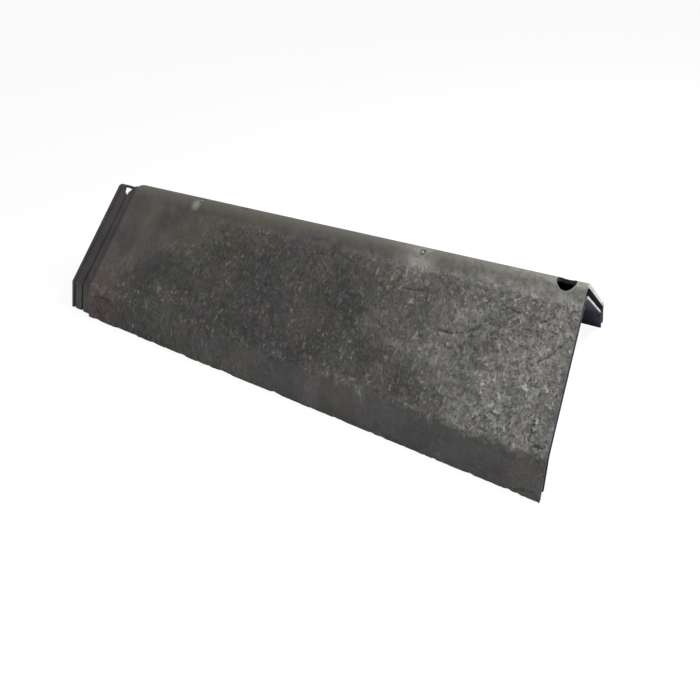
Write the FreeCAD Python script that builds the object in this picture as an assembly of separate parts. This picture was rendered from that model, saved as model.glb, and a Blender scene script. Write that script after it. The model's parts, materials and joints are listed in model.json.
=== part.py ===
import FreeCAD, Part
import math
import os

# Hip cap: an inverted V moulded in one piece, in millimetres.
# X runs along the ridge, from the tongue (-X) to the open end (+X); Z is up.
# The origin lies midway between the two ends, under the ridge, level with the bottom edges.

# Overall section, taken on the sharp corners of the outer face
overall_length = 500.0
wing_width = 117.5          # sloping face, ridge line to fold
wing_pitch = 42.0           # degrees below level
skirt_width = 30.0          # steeper face, fold to bottom edge
skirt_pitch = 69.0          # degrees below level
wall = 2.8
ridge_radius = 8.0          # outer face
fold_radius = 6.0           # outer face
smallest_radius = 0.8       # inner corners are never sharper than this

# Tongue that the next cap laps over
tongue_length = 32.0
tongue_wall = 3.0
lap_clearance = 0.3         # between this cap's tongue and the next cap's wall
land_drop = 0.7             # from the shoulder down to the land and the end bead
groove_depth = 1.2          # from the land down to the groove floors
shoulder_length = 12.0      # next to the body
shoulder_groove = 3.0       # groove between the shoulder and the land
end_groove = 2.6            # groove between the land and the end bead
end_bead = 3.8              # at the free end
root_length = 7.0           # thick step under the body that carries the tongue
body_bevel_length = 5.0     # eased edge of the body above the tongue
body_bevel_drop = 1.2

# Collar inside the open end, which the next tongue slides around
collar_clearance = 1.9      # between the next cap's tongue and the collar
collar_wall = 1.8
collar_ridge_radius = 7.0
collar_fold_radius = 10.0
slot_end_clearance = 1.5    # between the tip of the next tongue and the web
web_thickness = 2.6         # joins the collar to the wall behind the slot

# Screw holes on the ridge
access_diameter = 14.0      # through the wall and the tongue, for the screw's head
access_from_end = 14.5      # hole centre from the end of the body
screw_diameter = 7.0        # through the seat, for the screw's shank
seat_length = 22.0          # along X, under the collar's ridge
seat_depth = 6.5            # from the top of the collar down to the flat face of the seat

end_x = overall_length / 2.0
body_x = tongue_length - end_x
shoulder_inset = wall + lap_clearance
land_inset = shoulder_inset + land_drop
groove_inset = land_inset + groove_depth
tongue_inner = shoulder_inset + tongue_wall
collar_inset = tongue_inner + collar_clearance
fuse_depth = wall / 2.0     # joined layers start this far inside the wall
hole_x = end_x - access_from_end
tongue_hole_x = body_x - access_from_end


def section_corners(inset):
    """Sharp corners (y, z) of the section moved in by inset, over the ridge from -Y to +Y."""
    pitch = math.radians(wing_pitch)
    steep = math.radians(skirt_pitch)
    fold_y = wing_width * math.cos(pitch)
    fold_z = skirt_width * math.sin(steep)
    apex_z = fold_z + wing_width * math.sin(pitch)
    bottom_y = fold_y + skirt_width * math.cos(steep)
    middle = (pitch + steep) / 2.0
    corner_shift = inset / math.cos((steep - pitch) / 2.0)
    apex = (0.0, apex_z - inset / math.cos(pitch))
    fold = (fold_y - corner_shift * math.sin(middle), fold_z - corner_shift * math.cos(middle))
    bottom = (bottom_y - inset / math.sin(steep), 0.0)
    near_side = [(-y, z) for y, z in (bottom, fold)]
    return near_side + [apex, fold, bottom]


def rounded_edges(corners, radii, x):
    """Lines and tangent arcs through corners, each inner corner rounded by its radius."""
    points = [FreeCAD.Vector(x, y, z) for y, z in corners]
    edges = []
    start = points[0]
    for before, corner, after, radius in zip(points, points[1:], points[2:], radii):
        back = (before - corner).normalize()
        ahead = (after - corner).normalize()
        half_angle = back.getAngle(ahead) / 2.0
        tangent = radius / math.tan(half_angle)
        arc_start = corner + back * tangent
        arc_end = corner + ahead * tangent
        to_centre = (back + ahead).normalize()
        arc_middle = corner + to_centre * (radius / math.sin(half_angle) - radius)
        edges.append(Part.LineSegment(start, arc_start).toShape())
        edges.append(Part.Arc(arc_start, arc_middle, arc_end).toShape())
        start = arc_end
    edges.append(Part.LineSegment(start, points[-1]).toShape())
    return edges


def outline(inset, x, ridge=ridge_radius, fold=fold_radius):
    """Edges of the section at inset, with ridge and fold radii given for the outer face."""
    ridge_r = max(ridge, smallest_radius)
    fold_r = max(fold, smallest_radius)
    return rounded_edges(section_corners(inset), [fold_r, ridge_r, fold_r], x)


def end_points(edges):
    """First and last point of a chain of edges."""
    return edges[0].valueAt(edges[0].FirstParameter), edges[-1].valueAt(edges[-1].LastParameter)


def ring_wire(x, outer, inner, ridge, fold):
    """Closed outline of a wall from inset outer to inset inner, at one station along X."""
    outer_edges = outline(outer, x, ridge, fold)
    thickness = inner - outer
    inner_edges = outline(inner, x, ridge - thickness, fold - thickness)
    outer_start, outer_end = end_points(outer_edges)
    inner_start, inner_end = end_points(inner_edges)
    near_bottom = Part.LineSegment(inner_start, outer_start).toShape()
    far_bottom = Part.LineSegment(outer_end, inner_end).toShape()
    return Part.Wire(Part.__sortEdges__(outer_edges + [far_bottom] + inner_edges + [near_bottom]))


def layer(x_start, x_end, outer, inner, ridge=None, fold=None):
    """Wall that follows the section from inset outer to inset inner."""
    ridge_r = ridge_radius - outer if ridge is None else ridge
    fold_r = fold_radius - outer if fold is None else fold
    face = Part.Face(ring_wire(x_start, outer, inner, ridge_r, fold_r))
    return face.extrude(FreeCAD.Vector(x_end - x_start, 0, 0))


def filled_section(x_start, x_end, inset, ridge, fold):
    """Everything under the section at inset, down to the bottom level."""
    edges = outline(inset, x_start, ridge, fold)
    first, last = end_points(edges)
    closing = Part.LineSegment(last, first).toShape()
    face = Part.Face(Part.Wire(Part.__sortEdges__(edges + [closing])))
    return face.extrude(FreeCAD.Vector(x_end - x_start, 0, 0))


def vertical_hole(x, diameter):
    """Cylinder along Z through the whole height of the ridge."""
    apex_z = section_corners(0.0)[2][1]
    radius = diameter / 2.0
    return Part.makeCylinder(radius, apex_z, FreeCAD.Vector(x, 0, 0))


def make_body():
    """Wings and skirts, with the upper edge eased where the tongue starts."""
    bevel_end = body_x + body_bevel_length
    eased = ring_wire(body_x, body_bevel_drop, wall, ridge_radius - body_bevel_drop,
                      fold_radius - body_bevel_drop)
    full = ring_wire(bevel_end, 0.0, wall, ridge_radius, fold_radius)
    bevel = Part.makeLoft([eased, full], True, True)
    return bevel.fuse(layer(bevel_end, end_x, 0.0, wall))


def make_tongue():
    """Stepped tongue: root, shoulder, land and end bead over a thinner floor."""
    shoulder_x = body_x - shoulder_length
    land_end = shoulder_x - shoulder_groove
    land_start = end_bead + end_groove - end_x
    bead_end = end_bead - end_x
    floor_wall = layer(-end_x, body_x, groove_inset, tongue_inner)
    root = layer(body_x, body_x + root_length, fuse_depth, tongue_inner)
    shoulder = layer(shoulder_x, body_x, shoulder_inset, tongue_inner)
    land = layer(land_start, land_end, land_inset, tongue_inner)
    bead = layer(-end_x, bead_end, land_inset, tongue_inner)
    tongue = floor_wall.fuse([root, shoulder, land, bead])
    return tongue.cut(vertical_hole(tongue_hole_x, access_diameter))


def make_seat():
    """Flat-bottomed pad under the collar's ridge that the screw pulls down."""
    seat_x = hole_x - seat_length / 2.0
    collar_top = section_corners(collar_inset)[2][1]
    filled = filled_section(seat_x, seat_x + seat_length, collar_inset + collar_wall / 2.0,
                            collar_ridge_radius, collar_fold_radius)
    crown_drop = collar_ridge_radius * (1.0 / math.cos(math.radians(wing_pitch)) - 1.0)
    flat_z = collar_top - crown_drop - seat_depth
    width = 2.0 * wing_width
    above = Part.makeBox(seat_length, width, collar_top,
                         FreeCAD.Vector(seat_x, -width / 2.0, flat_z))
    return filled.common(above)


def make_collar():
    """Inner V behind the open end, with the web that closes the slot and the screw's seat."""
    slot_end = end_x - tongue_length - slot_end_clearance
    collar_inner = collar_inset + collar_wall
    collar = layer(slot_end - web_thickness, end_x, collar_inset, collar_inner,
                   collar_ridge_radius, collar_fold_radius)
    web = layer(slot_end - web_thickness, slot_end, fuse_depth, collar_inset + collar_wall / 2.0)
    seated = collar.fuse([web, make_seat()])
    return seated.cut(vertical_hole(hole_x, screw_diameter))


def make_hip_cap():
    """The whole cap as one solid."""
    body = make_body()
    wall_hole = layer(hole_x - access_diameter, end_x, 0.0, collar_inset - fuse_depth)
    access = vertical_hole(hole_x, access_diameter).common(wall_hole)
    cap = body.cut(access).fuse([make_tongue(), make_collar()])
    return cap.removeSplitter()


os.makedirs("parts", exist_ok=True)
hip_cap = make_hip_cap()
print("hip_cap solids", len(hip_cap.Solids), "valid", hip_cap.isValid(), "volume", round(hip_cap.Volume, 1))
hip_cap.Solids[0].exportStep("parts/hip_cap.step")
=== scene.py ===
import json
import logging
import math
from dataclasses import dataclass, field
from enum import Enum

import bpy
import numpy as np
from mathutils import Matrix, Vector

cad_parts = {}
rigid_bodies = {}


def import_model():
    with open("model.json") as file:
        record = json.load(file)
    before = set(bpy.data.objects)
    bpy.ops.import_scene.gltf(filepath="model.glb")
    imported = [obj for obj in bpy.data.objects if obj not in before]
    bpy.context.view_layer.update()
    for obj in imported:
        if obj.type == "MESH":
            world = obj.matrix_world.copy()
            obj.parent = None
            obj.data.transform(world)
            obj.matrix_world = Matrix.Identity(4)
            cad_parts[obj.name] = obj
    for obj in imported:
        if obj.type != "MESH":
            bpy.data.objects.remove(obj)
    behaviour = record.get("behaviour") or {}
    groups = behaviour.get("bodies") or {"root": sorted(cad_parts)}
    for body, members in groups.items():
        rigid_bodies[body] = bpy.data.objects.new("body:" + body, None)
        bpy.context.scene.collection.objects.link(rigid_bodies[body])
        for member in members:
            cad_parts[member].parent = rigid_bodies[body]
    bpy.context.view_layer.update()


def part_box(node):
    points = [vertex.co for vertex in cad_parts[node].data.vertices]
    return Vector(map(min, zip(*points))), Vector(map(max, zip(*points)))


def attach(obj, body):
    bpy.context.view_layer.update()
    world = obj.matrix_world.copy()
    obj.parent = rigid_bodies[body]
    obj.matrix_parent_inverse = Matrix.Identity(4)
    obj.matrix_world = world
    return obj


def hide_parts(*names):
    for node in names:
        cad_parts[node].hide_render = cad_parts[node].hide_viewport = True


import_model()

MM = 0.001
LOG = logging.getLogger("hip_cap")


class Joining(Enum):
    """What a tool object does to the object it is combined with."""

    ADD = "UNION"
    CUT = "DIFFERENCE"


class Finish(Enum):
    """Material slots of the cap, in the order its mesh holds them."""

    RIVEN_SKIN = 0
    RAW_INSIDE = 1
    TONGUE = 2
    END_PAINTED_REFLECTION = 3
    BORE_PAINTED_LIGHT = 4


# ---------------------------------------------------------------------------------------------
# Section and meshes
# ---------------------------------------------------------------------------------------------


@dataclass(frozen=True)
class CapSection:
    """Section of the cap across the ridge, in metres, on its sharp outer corners.

    Insets are measured square to the faces, inwards from the outer face.
    """

    wing_width: float = 117.5 * MM
    wing_pitch: float = math.radians(42.0)
    skirt_width: float = 30.0 * MM
    skirt_pitch: float = math.radians(69.0)
    wall: float = 2.8 * MM
    ridge_radius: float = 8.0 * MM
    fold_radius: float = 6.0 * MM
    smallest_radius: float = 0.8 * MM

    @property
    def fold_y(self) -> float:
        """Distance of the outer fold from the ridge plane."""
        return self.wing_width * math.cos(self.wing_pitch)

    @property
    def apex_z(self) -> float:
        """Height of the sharp ridge line."""
        return (self.wing_width * math.sin(self.wing_pitch)
                + self.skirt_width * math.sin(self.skirt_pitch))

    def corners(self, inset: float) -> list[tuple[float, float]]:
        """Sharp corners of the inset section from the near bottom over the ridge.

        Args:
            inset: distance from the outer face, in metres.

        Returns:
            Five (y, z) corners.
        """
        fold_z = self.skirt_width * math.sin(self.skirt_pitch)
        bottom_y = self.fold_y + self.skirt_width * math.cos(self.skirt_pitch)
        middle = (self.wing_pitch + self.skirt_pitch) / 2.0
        shift = inset / math.cos((self.skirt_pitch - self.wing_pitch) / 2.0)
        fold = (self.fold_y - shift * math.sin(middle), fold_z - shift * math.cos(middle))
        bottom = (bottom_y - inset / math.sin(self.skirt_pitch), 0.0)
        apex = (0.0, self.apex_z - inset / math.cos(self.wing_pitch))
        return [(-bottom[0], bottom[1]), (-fold[0], fold[1]), apex, fold, bottom]

    def path(self, inset: float, counts: "PathCounts", ridge: float | None = None,
             fold: float | None = None) -> tuple[np.ndarray, np.ndarray]:
        """Points and outward normals along the rounded section.

        Args:
            inset: distance from the outer face.
            counts: how many points each stretch gets.
            ridge: ridge radius, or None for the outer radius less the inset.
            fold: fold radius, or None likewise.

        Returns:
            Arrays of (y, z) points and of (y, z) outward normals.
        """
        ridge_r = max(self.ridge_radius - inset if ridge is None else ridge, self.smallest_radius)
        fold_r = max(self.fold_radius - inset if fold is None else fold, self.smallest_radius)
        corners = [np.array(c) for c in self.corners(inset)]
        radii = (fold_r, ridge_r, fold_r)
        arc_counts = (counts.fold, counts.ridge, counts.fold)
        line_counts = (counts.skirt, counts.wing, counts.wing, counts.skirt)
        points: list[np.ndarray] = []
        normals: list[np.ndarray] = []
        start = corners[0]
        for index, radius in enumerate(radii):
            before, corner, after = corners[index:index + 3]
            back = (before - corner) / np.linalg.norm(before - corner)
            ahead = (after - corner) / np.linalg.norm(after - corner)
            half_angle = math.acos(float(np.clip(back @ ahead, -1.0, 1.0))) / 2.0
            tangent = radius / math.tan(half_angle)
            inward = (back + ahead) / np.linalg.norm(back + ahead)
            centre = corner + inward * radius / math.sin(half_angle)
            arc_start = corner + back * tangent
            arc_end = corner + ahead * tangent
            line_normal = np.array([back[1], -back[0]])
            for share in np.linspace(0.0, 1.0, line_counts[index], endpoint=False):
                points.append(start + (arc_start - start) * share)
                normals.append(line_normal)
            first = math.atan2(*(arc_start - centre)[::-1])
            turn = math.pi - 2.0 * half_angle
            for share in np.linspace(0.0, 1.0, arc_counts[index], endpoint=False):
                angle = first - turn * share
                direction = np.array([math.cos(angle), math.sin(angle)])
                points.append(centre + direction * radius)
                normals.append(direction)
            start = arc_end
        back = (corners[-2] - corners[-1]) / np.linalg.norm(corners[-2] - corners[-1])
        line_normal = np.array([back[1], -back[0]])
        for share in np.linspace(0.0, 1.0, line_counts[-1] + 1):
            points.append(start + (corners[-1] - start) * share)
            normals.append(line_normal)
        return np.array(points), np.array(normals)


@dataclass(frozen=True)
class PathCounts:
    """Points that each stretch of a section path gets."""

    skirt: int
    fold: int
    wing: int
    ridge: int


@dataclass(frozen=True)
class Station:
    """One ring of a swept wall: where it is along X and how far in its faces lie."""

    x: float
    outer: float
    inner: float
    ridge: float | None = None
    fold: float | None = None


class MeshParts:
    """Collects vertices and faces of one closed mesh."""

    def __init__(self) -> None:
        """Start empty."""
        self.vertices: list[np.ndarray] = []
        self.faces: list[tuple[int, ...]] = []

    @property
    def count(self) -> int:
        """Vertices so far."""
        return sum(len(block) for block in self.vertices)

    def add_grid(self, grid: np.ndarray, flip: bool = False) -> np.ndarray:
        """Add a grid of points with its quads.

        Args:
            grid: points, rows along X and columns along the section.
            flip: turn the faces round.

        Returns:
            The vertex numbers, one for each grid point.
        """
        rows, columns = grid.shape[:2]
        numbers = np.arange(rows * columns).reshape(rows, columns) + self.count
        self.vertices.append(grid.reshape(-1, 3))
        first, second = numbers[:-1, :-1].ravel(), numbers[1:, :-1].ravel()
        third, fourth = numbers[1:, 1:].ravel(), numbers[:-1, 1:].ravel()
        quads = (first, fourth, third, second) if flip else (first, second, third, fourth)
        self.faces.extend(zip(*[corner.tolist() for corner in quads]))
        return numbers

    def bridge(self, left: np.ndarray, right: np.ndarray, flip: bool = False) -> None:
        """Join two lines of vertices of any counts by triangles.

        Args:
            left: vertex numbers of one line.
            right: vertex numbers of the other, running the same way.
            flip: turn the faces round.
        """
        i = j = 0
        last_i, last_j = len(left) - 1, len(right) - 1
        while i < last_i or j < last_j:
            step_left = j == last_j or (i < last_i and (i + 1) * last_j <= (j + 1) * last_i)
            corner = left[i + 1] if step_left else right[j + 1]
            face = (int(left[i]), int(corner), int(right[j]))
            self.faces.append(face[::-1] if flip else face)
            i, j = (i + 1, j) if step_left else (i, j + 1)

    def to_object(self, name: str) -> bpy.types.Object:
        """Make a mesh object of what was added."""
        mesh = bpy.data.meshes.new(name)
        mesh.from_pydata(np.concatenate(self.vertices).tolist(), [], self.faces)
        mesh.validate()
        made = bpy.data.objects.new(name, mesh)
        bpy.context.scene.collection.objects.link(made)
        return made


def ring_grid(stations: list[Station], section: CapSection, counts: PathCounts,
              inner: bool) -> np.ndarray:
    """Grid of points on the outer or the inner face of a swept wall."""
    rows = []
    for station in stations:
        inset = station.inner if inner else station.outer
        thickness = station.inner - station.outer if inner else 0.0
        ridge = None if station.ridge is None else station.ridge - thickness
        fold = None if station.fold is None else station.fold - thickness
        points, _ = section.path(inset, counts, ridge, fold)
        rows.append(np.column_stack([np.full(len(points), station.x), points]))
    return np.array(rows)


def swept_wall(name: str, stations: list[Station], section: CapSection,
               counts: PathCounts) -> bpy.types.Object:
    """Closed wall through the stations, with outer and inner faces of the same counts."""
    parts = MeshParts()
    outer = parts.add_grid(ring_grid(stations, section, counts, inner=False))
    inner = parts.add_grid(ring_grid(stations, section, counts, inner=True), flip=True)
    close_wall(parts, outer, inner)
    return parts.to_object(name)


def close_wall(parts: MeshParts, outer: np.ndarray, inner: np.ndarray) -> None:
    """Join the outer and inner grids along both ends and both bottom edges."""
    parts.bridge(outer[0], inner[0])
    parts.bridge(outer[-1], inner[-1], flip=True)
    parts.bridge(outer[:, 0], inner[:, 0], flip=True)
    parts.bridge(outer[:, -1], inner[:, -1])


def circle(radius: float, sides: int) -> list[tuple[float, float]]:
    """Points (x, y) round a circle about the origin."""
    return [(radius * math.cos(angle), radius * math.sin(angle))
            for angle in np.linspace(0.0, 2.0 * math.pi, sides, endpoint=False)]


def stacked_rings(name: str, rings: list[np.ndarray]) -> bpy.types.Object:
    """Closed solid through rings of equal counts, given from low to high."""
    sides = len(rings[0])
    top = (len(rings) - 1) * sides
    parts = MeshParts()
    parts.vertices.extend(rings)
    for base in range(0, top, sides):
        for index in range(sides):
            after = (index + 1) % sides
            parts.faces.append((base + index, base + after, base + sides + after,
                                base + sides + index))
    parts.faces.append(tuple(range(sides))[::-1])
    parts.faces.append(tuple(range(top, top + sides)))
    return parts.to_object(name)


def cylinder(name: str, x: float, radius: float, low: float, high: float) -> bpy.types.Object:
    """Upright cutter for a hole, with its place in its mesh."""
    return stacked_rings(name, [np.array([(x + px, py, z) for px, py in circle(radius, 64)])
                                for z in (low, high)])


def turned(name: str, profile: list[tuple[float, float]], place: Vector,
           axis: Vector) -> bpy.types.Object:
    """Solid of revolution with its place in its mesh.

    Args:
        name: name of the object.
        profile: (radius, height) rings between the two ends, from low to high.
        place: where height zero is.
        axis: direction of the height.

    Returns:
        The closed object.
    """
    turn = axis.to_track_quat("Z", "Y").to_matrix()
    return stacked_rings(name, [
        np.array([place + turn @ Vector((px, py, height)) for px, py in circle(radius, 28)])
        for radius, height in profile
    ])


def combine(target: bpy.types.Object, other: bpy.types.Object, joining: Joining) -> None:
    """Add other to target or cut it out, and remove other.

    Args:
        target: the object that keeps the result.
        other: the tool object.
        joining: what other does to target.
    """
    modifier = target.modifiers.new("combine", "BOOLEAN")
    modifier.operation = joining.value
    modifier.solver = "MANIFOLD"
    modifier.object = other
    bake_modifiers(target)
    bpy.data.objects.remove(other)


def drill(target: bpy.types.Object, name: str, x: float, radius: float, low: float,
          high: float) -> None:
    """Cut an upright hole on the ridge plane through target, from low to high."""
    combine(target, cylinder(name, x, radius, low, high), Joining.CUT)


def bake_modifiers(target: bpy.types.Object) -> None:
    """Turn the evaluated object into its plain mesh and drop the modifiers."""
    graph = bpy.context.evaluated_depsgraph_get()
    result = bpy.data.meshes.new_from_object(target.evaluated_get(graph), depsgraph=graph)
    target.modifiers.clear()
    old = target.data
    target.data = result
    bpy.data.meshes.remove(old)


# ---------------------------------------------------------------------------------------------
# Node trees
# ---------------------------------------------------------------------------------------------


class NodeWriter:
    """Short calls for building a node tree of any kind."""

    def __init__(self, tree: bpy.types.NodeTree) -> None:
        """Write into tree."""
        self.tree = tree

    def node(self, kind: str, **values: object) -> bpy.types.Node:
        """Add a node and set its properties."""
        made = self.tree.nodes.new(kind)
        for key, value in values.items():
            setattr(made, key, value)
        return made

    def put(self, socket: bpy.types.NodeSocket, value: object) -> None:
        """Link a socket to an output, or set it to a plain value."""
        if isinstance(value, bpy.types.NodeSocket):
            self.tree.links.new(value, socket)
        elif value is not None:
            socket.default_value = value

    def math(self, operation: str, *values: object) -> bpy.types.NodeSocket:
        """Math node on up to three inputs."""
        made = self.node("ShaderNodeMath", operation=operation)
        for socket, value in zip(made.inputs, values):
            self.put(socket, value)
        return made.outputs[0]

    def times(self, first: object, second: object) -> bpy.types.NodeSocket:
        """Product of two values."""
        return self.math("MULTIPLY", first, second)

    def plus(self, first: object, second: object) -> bpy.types.NodeSocket:
        """Sum of two values."""
        return self.math("ADD", first, second)

    def minus(self, first: object, second: object) -> bpy.types.NodeSocket:
        """First value less the second."""
        return self.math("SUBTRACT", first, second)

    def line(self, value: object, slope: object, start: object) -> bpy.types.NodeSocket:
        """Start plus slope times value."""
        return self.math("MULTIPLY_ADD", value, slope, start)

    def vector(self, operation: str, first: object, second: object = None,
               scale: object = None) -> bpy.types.NodeSocket:
        """Vector math node, giving its vector output, or the value for a length."""
        made = self.node("ShaderNodeVectorMath", operation=operation)
        self.put(made.inputs[0], first)
        self.put(made.inputs[1], second)
        if scale is not None:
            self.put(made.inputs["Scale"], scale)
        return made.outputs["Value" if operation == "LENGTH" else "Vector"]

    def noise(self, vector: object, scale: object, detail: float = 3.0, roughness: float = 0.5,
              distortion: float = 0.0, output: str = "Fac") -> bpy.types.NodeSocket:
        """Noise texture output."""
        made = self.node("ShaderNodeTexNoise")
        for key, value in (("Vector", vector), ("Scale", scale), ("Detail", detail),
                           ("Roughness", roughness), ("Distortion", distortion)):
            self.put(made.inputs[key], value)
        return made.outputs[output]

    def edges(self, vector: object, scale: object) -> bpy.types.NodeSocket:
        """Distance to the nearest edge of a Voronoi cell."""
        made = self.node("ShaderNodeTexVoronoi", feature="DISTANCE_TO_EDGE")
        self.put(made.inputs["Vector"], vector)
        self.put(made.inputs["Scale"], scale)
        return made.outputs["Distance"]

    def ramp(self, value: object, low: object, high: object, to_low: object = 0.0,
             to_high: object = 1.0) -> bpy.types.NodeSocket:
        """Smooth step from low to high, mapped to to_low and to_high."""
        made = self.node("ShaderNodeMapRange", interpolation_type="SMOOTHSTEP")
        for index, item in enumerate((value, low, high, to_low, to_high)):
            self.put(made.inputs[index], item)
        return made.outputs[0]

    def mix(self, factor: object, first: object, second: object,
            blend: str = "MIX") -> bpy.types.NodeSocket:
        """Colour mix."""
        made = self.node("ShaderNodeMix", data_type="RGBA", blend_type=blend)
        self.put(made.inputs[0], factor)
        self.put(made.inputs[6], first)
        self.put(made.inputs[7], second)
        return made.outputs[2]

    def bump(self, strength: object, distance: float, height: object,
             normal: object = None) -> bpy.types.NodeSocket:
        """Normal bent by a height, on top of another normal if there is one."""
        made = self.node("ShaderNodeBump")
        for key, value in (("Strength", strength), ("Distance", distance), ("Height", height),
                           ("Normal", normal)):
            self.put(made.inputs[key], value)
        return made.outputs[0]

    def axes(self, vector: object) -> list[bpy.types.NodeSocket]:
        """X, Y and Z of a vector."""
        made = self.node("ShaderNodeSeparateXYZ")
        self.put(made.inputs[0], vector)
        return list(made.outputs)

    def combine(self, x: object, y: object, z: object) -> bpy.types.NodeSocket:
        """Vector of three values."""
        made = self.node("ShaderNodeCombineXYZ")
        for socket, value in zip(made.inputs, (x, y, z)):
            self.put(socket, value)
        return made.outputs[0]


def group_tree(name: str, kind: str, inputs: dict[str, tuple[str, object]],
               outputs: dict[str, str]) -> tuple[NodeWriter, dict, bpy.types.Node]:
    """New node group with named sockets.

    Args:
        name: name of the group.
        kind: ShaderNodeTree or GeometryNodeTree.
        inputs: socket name to (socket type, default or None).
        outputs: socket name to socket type.

    Returns:
        The writer, the input sockets by name, and the output node.
    """
    tree = bpy.data.node_groups.new(name, kind)
    for label, (socket_kind, default) in inputs.items():
        socket = tree.interface.new_socket(label, in_out="INPUT", socket_type=socket_kind)
        if default is not None:
            socket.default_value = default
    for label, socket_kind in outputs.items():
        tree.interface.new_socket(label, in_out="OUTPUT", socket_type=socket_kind)
    writer = NodeWriter(tree)
    entry = writer.node("NodeGroupInput")
    leave = writer.node("NodeGroupOutput")
    return writer, {socket.name: socket for socket in entry.outputs}, leave


@dataclass(frozen=True)
class Crack:
    """Fine crack on the near wing, an arc between two places (x, down the slope) in metres."""

    start: tuple[float, float]
    end: tuple[float, float]
    bow: float = 0.0
    width: float = 0.7 * MM

    def mask(self, w: "NodeWriter", surface: object) -> bpy.types.NodeSocket:
        """Strength of the crack at a place on the slope, 1 along its line."""
        x, down, _ = w.axes(surface)
        run = np.array(self.end) - np.array(self.start)
        length = float(np.linalg.norm(run))
        along_x, along_y = run / length
        from_x = w.minus(x, self.start[0])
        from_y = w.minus(down, self.start[1])
        along = w.plus(w.times(from_x, along_x),
                       w.times(from_y, along_y))
        aside = w.minus(w.times(from_y, along_x),
                       w.times(from_x, along_y))
        share = w.math("DIVIDE", along, length)
        arch = w.times(share, w.minus(1.0, share))
        wander = w.minus(w.noise(surface, 110.0, 3.0, 0.6), 0.5)
        line = w.line(arch, 4.0 * self.bow, w.times(wander, 0.006))
        off = w.math("ABSOLUTE", w.minus(aside, line))
        inside = w.times(w.ramp(share, 0.0, 0.12), w.ramp(share, 1.0, 0.88))
        return w.times(inside, w.ramp(off, self.width * 0.4, self.width * 1.4, 1.0, 0.0))


CRACKS = (
    Crack((0.151, 0.0570), (0.186, 0.0480), bow=0.0055),
    Crack((0.229, 0.0620), (0.246, 0.0400), bow=0.0015),
    Crack((0.238, 0.1150), (0.247, 0.1120), bow=-0.0010),
    Crack((-0.209, 0.1245), (-0.181, 0.1240), bow=-0.0025, width=0.9 * MM),
    Crack((-0.204, 0.1340), (-0.188, 0.1445), bow=0.0020, width=0.9 * MM),
)


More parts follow.
